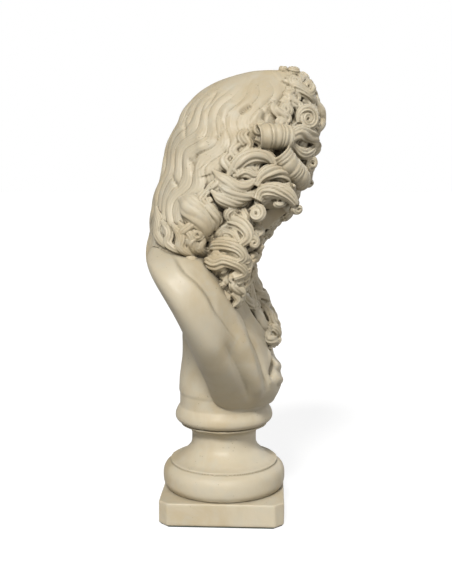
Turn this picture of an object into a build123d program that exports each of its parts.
"""A life-size portrait bust in a full-bottomed wig, on a turned socle.

Millimetres. +Z is up, the bust faces -Y and its own right hand is towards -X. The origin is the centre of
the face that stands on the table. The bust turns about +Z on a steel pin that is bolted through the socle.
"""

import os

from build123d import *

# --- Plinth, socle and what stands on them: heights above the table --------------------------------------
FELT_THICKNESS = 2.0
PLINTH_SIDE = 214.0
PLINTH_TOP = 42.0
CORNER_CUT = 15.5
BED_THICKNESS = 1.0
BED_RADIUS = 98.0
SOCLE_TOP = 159.0
SOCLE_FOOT_RADIUS = 103.5
TORUS_RADIUS = 108.5
TORUS_HEIGHT = 62.0
RIM_RADIUS = 95.2
RIM_HEIGHT = 90.0
NECK_RADIUS = 57.0
NECK_FOOT = 127.0
NECK_TOP = 137.0
FILLET_RADIUS = 76.8
FILLET_FOOT = 155.0
WASHER_THICKNESS = 1.5
TURNING_WASHER_RADIUS = 70.0
COLUMN_FOOT = SOCLE_TOP + WASHER_THICKNESS
RING_RADIUS = 86.1
RING_HEIGHT = 175.0
RING_TOP = 189.5
COLUMN_RADIUS = 77.7
COLUMN_TOP_RADIUS = 71.8
COLUMN_TOP = 405.0
COLUMN_SHELF = 282.0
COLUMN_STEP = -14.0  # the front of the part that rises behind the torso, in Y

# --- Fixings: an M12 pin through the socle, and the bush that turns on it ---------------------------------
PIN_RADIUS = 6.0
PIN_BORE_RADIUS = 7.0
PIN_FOOT = 9.0
PIN_TOP = 232.0
NUT_ACROSS_FLATS = 19.0
NUT_HEIGHT = 10.0
PLATE_RADIUS = 18.0
PLATE_THICKNESS = 2.5
RECESS_RADIUS = 22.0
LOWER_RECESS_ROOF = 28.0
UPPER_RECESS_FLOOR = 144.0
KEY_RADIUS = 4.0
KEY_SPACING = 116.0
KEY_DEPTH = 12.0
BUSH_BORE_RADIUS = 6.05
BUSH_RADIUS = 10.0
BUSH_FLANGE_RADIUS = 17.0
BUSH_FLANGE = 3.0
BUSH_TOP = 236.0
COLLAR_RADIUS = 15.0
SOCKET_TOP = 240.0
DOWEL_RADIUS = 6.0
DOWEL_GAP = 0.15
DOWEL_END_GAP = 1.0
TORSO_DOWEL_SPAN = (213.0, 325.0)
TORSO_DOWELS = [(-37.0, -41.0), (37.0, -41.0)]
HEAD_DOWEL_SPAN = (375.0, 506.0)

# --- Figure ----------------------------------------------------------------------------------------------
HEAD_TURN = 25.0  # degrees, towards the bust's own left
NECK_CENTRE = (0.0, 6.0)
TENON_RADIUS = 46.0
TENON_FOOT = 414.0
# Torso sections: height, half width, front at the middle, back at the arms, depth of the dished back
TORSO = [
    (199.0, 80.0, -90.0, 7.0, 2.0),
    (214.0, 97.0, -97.0, 13.0, 5.0),
    (241.0, 124.0, -103.0, 20.0, 9.0),
    (276.0, 159.0, -90.0, 30.0, 16.0),
    (316.0, 189.0, -74.0, 44.0, 21.0),
    (362.0, 209.0, -57.0, 62.0, 21.0),
    (402.0, 216.0, -44.0, 83.0, 16.0),
    (432.0, 207.0, -34.0, 101.0, 9.0),
    (458.0, 175.0, -25.0, 113.0, 2.0),
    (476.0, 124.0, -9.0, 109.0, 0.0),
]
# Head sections: height, how far the centre lies ahead of the neck, half depth, half width
HEAD = [
    (474.0, 4.0, 56.0, 55.0),
    (505.0, 14.0, 62.0, 56.0),
    (522.0, 38.0, 72.0, 54.0),
    (555.0, 34.0, 88.0, 68.0),
    (600.0, 28.0, 96.0, 75.0),
    (640.0, 27.0, 97.0, 77.0),
    (680.0, 28.0, 92.0, 75.0),
    (710.0, 30.0, 76.0, 63.0),
    (730.0, 30.0, 52.0, 44.0),
    (739.0, 30.0, 26.0, 22.0),
]
# Nose sections, in the same terms
NOSE = [
    (574.0, 119.0, 14.0, 15.0),
    (584.0, 124.0, 22.0, 17.0),
    (612.0, 120.0, 14.0, 10.0),
    (637.0, 114.0, 9.0, 9.0),
]
# Wig sections: height, centre in Y, half depth, half width
WIG = [
    (457.0, 60.0, 72.0, 140.0),
    (483.0, 51.0, 77.0, 151.0),
    (518.0, 32.0, 93.0, 154.0),
    (552.0, 7.0, 114.0, 152.0),
    (591.0, -19.0, 128.0, 145.0),
    (632.0, -27.0, 127.0, 136.0),
    (673.0, -38.0, 122.0, 122.0),
    (707.0, -47.0, 112.0, 101.0),
    (734.0, -56.0, 95.0, 76.0),
    (750.0, -66.0, 77.0, 55.0),
    (760.0, -76.0, 57.0, 42.0),
    (766.0, -84.0, 38.0, 29.0),
]
FACE_OPENING = (62.0, 108.0)  # half width and half height of the window in the wig
FACE_CENTRE_HEIGHT = 600.0
# Side curls: height, centre in X and Y, half depth, half width, for the right side
SIDE_CURLS = [
    (405.0, 136.0, -16.0, 18.0, 21.0),
    (437.0, 133.0, -16.0, 30.0, 32.0),
    (471.0, 124.0, -28.0, 38.0, 41.0),
    (506.0, 113.0, -53.0, 44.0, 44.0),
    (540.0, 106.0, -80.0, 48.0, 41.0),
    (575.0, 101.0, -94.0, 44.0, 37.0),
]
# Cravat: height, centre in Y, half depth, half width
CRAVAT = [
    (290.0, -74.0, 15.0, 30.0),
    (322.0, -74.0, 20.0, 39.0),
    (345.0, -67.0, 18.0, 41.0),
    (368.0, -55.0, 16.0, 39.0),
    (402.0, -41.0, 16.0, 34.0),
    (437.0, -34.0, 15.0, 32.0),
    (469.0, -32.0, 18.0, 34.0),
]


def save(piece, name):
    """Label a finished piece and write its STEP file."""
    piece.label = name
    export_step(piece, f"parts/{name}.step")


def cut_square(side, corner):
    """A square with its four corners cut at 45 degrees, in the current sketch."""
    Rectangle(side, side)
    chamfer(vertices(), corner)


def torso_outline(half_width, front, back, dish):
    """Points round one torso section: chest, arm, cut edge of the arm, dished back."""
    depth = back - front
    right = [
        (0.40 * half_width, front + 0.06 * depth),
        (0.74 * half_width, front + 0.26 * depth),
        (0.96 * half_width, front + 0.58 * depth),
        (0.98 * half_width, front + 0.86 * depth),
        (0.86 * half_width, back),
        (0.45 * half_width, back - 0.7 * dish),
    ]
    left = [(-x, y) for x, y in reversed(right)]
    return [(0.0, front), *right, (0.0, back - dish), *left]


def make_base():
    """Felt, plinth, mortar bed and turned socle."""
    with BuildPart() as base_felt:
        with BuildSketch():
            cut_square(PLINTH_SIDE - 6.0, CORNER_CUT)
        extrude(amount=FELT_THICKNESS)
    save(base_felt.part, "base_felt")

    with BuildPart() as plinth:
        with BuildSketch(Plane.XY.offset(FELT_THICKNESS)):
            cut_square(PLINTH_SIDE, CORNER_CUT)
        extrude(amount=PLINTH_TOP - FELT_THICKNESS)
        chamfer(plinth.faces().sort_by(Axis.Z)[-1].edges(), 0.8)
        with BuildSketch(Plane.XY.offset(FELT_THICKNESS)):
            Circle(RECESS_RADIUS)
        extrude(amount=LOWER_RECESS_ROOF - FELT_THICKNESS, mode=Mode.SUBTRACT)
        with Locations((0, 0, PLINTH_TOP)):
            Hole(PIN_BORE_RADIUS)
        with BuildSketch(Plane.XY.offset(PLINTH_TOP)):
            with GridLocations(KEY_SPACING, 0, 2, 1):
                Circle(KEY_RADIUS)
        extrude(amount=-KEY_DEPTH, mode=Mode.SUBTRACT)
    save(plinth.part, "plinth")

    bed_top = PLINTH_TOP + BED_THICKNESS
    with BuildPart() as mortar_bed:
        with BuildSketch(Plane.XY.offset(PLINTH_TOP)):
            Circle(BED_RADIUS)
            Circle(PIN_BORE_RADIUS, mode=Mode.SUBTRACT)
            with GridLocations(KEY_SPACING, 0, 2, 1):
                Circle(KEY_RADIUS, mode=Mode.SUBTRACT)
        extrude(amount=BED_THICKNESS)
    save(mortar_bed.part, "mortar_bed")

    with BuildPart() as socle_keys:
        with BuildSketch(Plane.XY.offset(PLINTH_TOP - KEY_DEPTH)):
            with GridLocations(KEY_SPACING, 0, 2, 1):
                Circle(KEY_RADIUS)
        extrude(amount=2 * KEY_DEPTH + BED_THICKNESS)
    save(socle_keys.part, "socle_keys")

    with BuildPart() as socle:
        with BuildSketch(Plane.XZ):
            with BuildLine():
                outline = Polyline((0, SOCLE_TOP), (0, bed_top), (SOCLE_FOOT_RADIUS, bed_top))
                foot = Line(outline @ 1, (SOCLE_FOOT_RADIUS, bed_top + 2.0))
                torus = Spline(
                    foot @ 1,
                    (TORUS_RADIUS, TORUS_HEIGHT),
                    (RIM_RADIUS - 2.0, RIM_HEIGHT - 3.0),
                    tangents=[(0.8, 1), (-1, 0.25)],
                )
                rim = Polyline(
                    torus @ 1,
                    (RIM_RADIUS - 2.0, RIM_HEIGHT - 1.5),
                    (RIM_RADIUS, RIM_HEIGHT),
                    (RIM_RADIUS, RIM_HEIGHT + 2.0),
                )
                flare = Spline(
                    rim @ 1,
                    (NECK_RADIUS + 12.0, RIM_HEIGHT + 16.0),
                    (NECK_RADIUS, NECK_FOOT),
                    tangents=[(-1, 0.06), (0, 1)],
                )
                neck = Line(flare @ 1, (NECK_RADIUS, NECK_TOP))
                cove = Spline(neck @ 1, (FILLET_RADIUS - 3.0, FILLET_FOOT), tangents=[(0, 1), (1, 0.3)])
                Polyline(
                    cove @ 1,
                    (FILLET_RADIUS, FILLET_FOOT + 1.0),
                    (FILLET_RADIUS, SOCLE_TOP),
                    (0, SOCLE_TOP),
                )
            make_face()
        revolve(axis=Axis.Z)
        with Locations((0, 0, SOCLE_TOP)):
            Hole(PIN_BORE_RADIUS)
        with BuildSketch(Plane.XY.offset(SOCLE_TOP)):
            Circle(RECESS_RADIUS)
        extrude(amount=UPPER_RECESS_FLOOR - SOCLE_TOP, mode=Mode.SUBTRACT)
        with BuildSketch(Plane.XY.offset(bed_top)):
            with GridLocations(KEY_SPACING, 0, 2, 1):
                Circle(KEY_RADIUS)
        extrude(amount=KEY_DEPTH, mode=Mode.SUBTRACT)
    save(socle.part, "socle")


def make_plate(name, foot):
    """A plain round steel washer under a nut."""
    with BuildPart() as plate:
        with BuildSketch(Plane.XY.offset(foot)):
            Circle(PLATE_RADIUS)
            Circle(PIN_RADIUS, mode=Mode.SUBTRACT)
        extrude(amount=PLATE_THICKNESS)
    save(plate.part, name)


def make_nut(name, foot):
    """A hexagon nut with chamfered corners, threaded on the pin."""
    with BuildPart() as nut:
        with BuildSketch(Plane.XY.offset(foot)):
            RegularPolygon(NUT_ACROSS_FLATS / 2, 6, major_radius=False)
            Circle(PIN_RADIUS, mode=Mode.SUBTRACT)
        extrude(amount=NUT_HEIGHT)
        chamfer(nut.edges().filter_by(Axis.Z), 0.6)
    save(nut.part, name)


def make_fixings():
    """The pin with its nuts and washers, and the bush, collar and washer that let the bust turn."""
    with BuildPart() as turning_pin:
        with BuildSketch(Plane.XY.offset(PIN_FOOT)):
            Circle(PIN_RADIUS)
        extrude(amount=PIN_TOP - PIN_FOOT)
        chamfer(turning_pin.edges().filter_by(GeomType.CIRCLE), 1.0)
    save(turning_pin.part, "turning_pin")

    make_plate("lower_washer", LOWER_RECESS_ROOF - PLATE_THICKNESS)
    make_nut("lower_nut", LOWER_RECESS_ROOF - PLATE_THICKNESS - NUT_HEIGHT)
    make_plate("upper_washer", UPPER_RECESS_FLOOR)
    make_nut("upper_nut", UPPER_RECESS_FLOOR + PLATE_THICKNESS)

    with BuildPart() as turning_washer:
        with BuildSketch(Plane.XY.offset(SOCLE_TOP)):
            Circle(TURNING_WASHER_RADIUS)
            Circle(RECESS_RADIUS, mode=Mode.SUBTRACT)
        extrude(amount=WASHER_THICKNESS)
    save(turning_washer.part, "turning_washer")

    with BuildPart() as turning_bush:
        with BuildSketch(Plane.XY.offset(COLUMN_FOOT)):
            Circle(BUSH_FLANGE_RADIUS)
        extrude(amount=BUSH_FLANGE)
        with BuildSketch(Plane.XY.offset(COLUMN_FOOT)):
            Circle(BUSH_RADIUS)
        extrude(amount=BUSH_TOP - COLUMN_FOOT)
        with Locations((0, 0, BUSH_TOP)):
            Hole(BUSH_BORE_RADIUS)
    save(turning_bush.part, "turning_bush")

    with BuildPart() as lead_collar:
        with BuildSketch(Plane.XY.offset(COLUMN_FOOT + BUSH_FLANGE)):
            Circle(COLLAR_RADIUS)
            Circle(BUSH_RADIUS, mode=Mode.SUBTRACT)
        extrude(amount=BUSH_TOP - COLUMN_FOOT - BUSH_FLANGE)
    save(lead_collar.part, "lead_collar")

    make_dowels("torso_dowels", TORSO_DOWELS, TORSO_DOWEL_SPAN)
    make_dowels("head_dowel", [NECK_CENTRE], HEAD_DOWEL_SPAN)


def make_dowels(name, places, span):
    """Upright steel dowels that pin one block of the bust to the next."""
    foot, top = span
    with BuildPart() as dowels:
        with BuildSketch(Plane.XY.offset(foot)):
            with Locations(*places):
                Circle(DOWEL_RADIUS)
        extrude(amount=top - foot)
        chamfer(dowels.edges().filter_by(GeomType.CIRCLE), 1.0)
    save(dowels.part, name)


def dowel_holes(places, span):
    """Cuts the holes for dowels out of the current part, with room for the glue."""
    foot, top = span
    with BuildSketch(Plane.XY.offset(foot - DOWEL_END_GAP)) as mouths:
        with Locations(*places):
            Circle(DOWEL_RADIUS + DOWEL_GAP)
    extrude(mouths.sketch, amount=top - foot + 2 * DOWEL_END_GAP, mode=Mode.SUBTRACT)


def make_column():
    """The ring that stands on the socle and the drum that rises from it, behind the torso at the top."""
    with BuildPart() as core:
        with BuildSketch(Plane.XZ):
            with BuildLine():
                start = Polyline((0, COLUMN_TOP), (0, COLUMN_FOOT), (FILLET_RADIUS + 1.0, COLUMN_FOOT))
                ring = Spline(
                    start @ 1,
                    (RING_RADIUS, RING_HEIGHT),
                    (COLUMN_RADIUS + 1.2, RING_TOP),
                    (COLUMN_RADIUS, RING_TOP + 6.0),
                    tangents=[(1, 0.5), (0, 1)],
                )
                drum = Spline(
                    ring @ 1,
                    (COLUMN_RADIUS, RING_TOP + 42.0),
                    (COLUMN_TOP_RADIUS, RING_TOP + 100.0),
                    tangents=[(0, 1), (0, 1)],
                )
                Polyline(drum @ 1, (COLUMN_TOP_RADIUS, COLUMN_TOP), (0, COLUMN_TOP))
            make_face()
        revolve(axis=Axis.Z)
        with BuildSketch(Plane.XY.offset(COLUMN_SHELF)):
            with Locations((0, COLUMN_STEP)):
                Rectangle(3 * COLUMN_RADIUS, 2 * COLUMN_RADIUS, align=(Align.CENTER, Align.MAX))
        extrude(amount=COLUMN_TOP - COLUMN_SHELF, mode=Mode.SUBTRACT)
    with BuildPart() as column:
        add(core.part)
        with BuildSketch(Plane.XY.offset(COLUMN_FOOT)):
            Circle(BUSH_FLANGE_RADIUS)
        extrude(amount=BUSH_FLANGE, mode=Mode.SUBTRACT)
        with BuildSketch(Plane.XY.offset(COLUMN_FOOT)):
            Circle(COLLAR_RADIUS)
        extrude(amount=BUSH_TOP - COLUMN_FOOT, mode=Mode.SUBTRACT)
        with BuildSketch(Plane.XY.offset(BUSH_TOP)):
            Circle(BUSH_BORE_RADIUS)
        extrude(amount=SOCKET_TOP - BUSH_TOP, mode=Mode.SUBTRACT)
        dowel_holes(TORSO_DOWELS, TORSO_DOWEL_SPAN)
        dowel_holes([NECK_CENTRE], HEAD_DOWEL_SPAN)
    save(column.part, "support_column")
    return core.part


def ahead_of_neck(distance, height):
    """The point that lies this far ahead of the neck, in the direction that the head faces."""
    forward = Vector(0, -distance, height).rotate(Axis.Z, HEAD_TURN)
    return Vector(*NECK_CENTRE, 0) + forward


def head_plane(distance, height):
    """A level plane that is turned with the head, centred ahead of the neck."""
    sideways = Vector(1, 0, 0).rotate(Axis.Z, HEAD_TURN)
    return Plane(origin=ahead_of_neck(distance, height), x_dir=sideways)


def make_head():
    """Skull, face and neck, with the tenon that is let into the torso."""
    with BuildPart() as core:
        for height, ahead, half_depth, half_width in HEAD:
            with BuildSketch(head_plane(ahead, height)):
                Ellipse(half_width, half_depth)
        loft()
        for height, ahead, half_depth, half_width in NOSE:
            with BuildSketch(head_plane(ahead, height)):
                Ellipse(half_width, half_depth)
        loft()
        with BuildSketch(Plane.XY.offset(TENON_FOOT)):
            with Locations(NECK_CENTRE):
                Circle(TENON_RADIUS)
        extrude(amount=HEAD[0][0] + 4.0 - TENON_FOOT)
    with BuildPart() as head:
        add(core.part)
        dowel_holes([NECK_CENTRE], HEAD_DOWEL_SPAN)
    save(head.part, "head")
    return core.part


def make_torso(column, head):
    """Chest, shoulders and the mantle round them, let in over the column and under the neck."""
    with BuildPart() as core:
        for height, half_width, front, back, dish in TORSO:
            with BuildSketch(Plane.XY.offset(height)):
                with BuildLine():
                    Spline(*torso_outline(half_width, front, back, dish), periodic=True)
                make_face()
        loft()
    with BuildPart() as torso:
        add(core.part)
        add(column, mode=Mode.SUBTRACT)
        add(head, mode=Mode.SUBTRACT)
        dowel_holes(TORSO_DOWELS, TORSO_DOWEL_SPAN)
        dowel_holes([NECK_CENTRE], HEAD_DOWEL_SPAN)
    save(torso.part, "draped_torso")
    return core.part


def make_wig(neighbours):
    """The hair on the crown and down the back, open in front of the face."""
    with BuildPart() as wig:
        for height, centre, half_depth, half_width in WIG:
            with BuildSketch(Plane((0, centre, height))):
                Ellipse(half_width, half_depth)
        loft()
        window = Plane(
            origin=ahead_of_neck(66, FACE_CENTRE_HEIGHT),
            x_dir=Vector(1, 0, 0).rotate(Axis.Z, HEAD_TURN),
            z_dir=Vector(0, -1, 0).rotate(Axis.Z, HEAD_TURN),
        )
        with BuildSketch(window):
            Ellipse(*FACE_OPENING)
        extrude(amount=180, mode=Mode.SUBTRACT)
        for neighbour in neighbours:
            add(neighbour, mode=Mode.SUBTRACT)
    save(wig.part, "wig")
    return wig.part


def make_side_curls(name, side, neighbours):
    """The bunch of curls that falls in front of one shoulder."""
    with BuildPart() as curls:
        for height, out, centre, half_depth, half_width in SIDE_CURLS:
            with BuildSketch(Plane((side * out, centre, height))):
                Ellipse(half_width, half_depth)
        loft()
        for neighbour in neighbours:
            add(neighbour, mode=Mode.SUBTRACT)
    save(curls.part, name)
    return curls.part


def make_cravat(neighbours):
    """The lace that hangs from the neck over the chest."""
    with BuildPart() as cravat:
        for height, centre, half_depth, half_width in CRAVAT:
            with BuildSketch(Plane((0, centre, height))):
                Ellipse(half_width, half_depth)
        loft()
        for neighbour in neighbours:
            add(neighbour, mode=Mode.SUBTRACT)
    save(cravat.part, "lace_cravat")


os.makedirs("parts", exist_ok=True)
make_base()
make_fixings()
column_part = make_column()
head_part = make_head()
torso_part = make_torso(column_part, head_part)
figure = [column_part, head_part, torso_part]
figure.append(make_wig(figure))
figure.append(make_side_curls("right_side_curls", -1, figure))
figure.append(make_side_curls("left_side_curls", 1, figure))
make_cravat(figure)
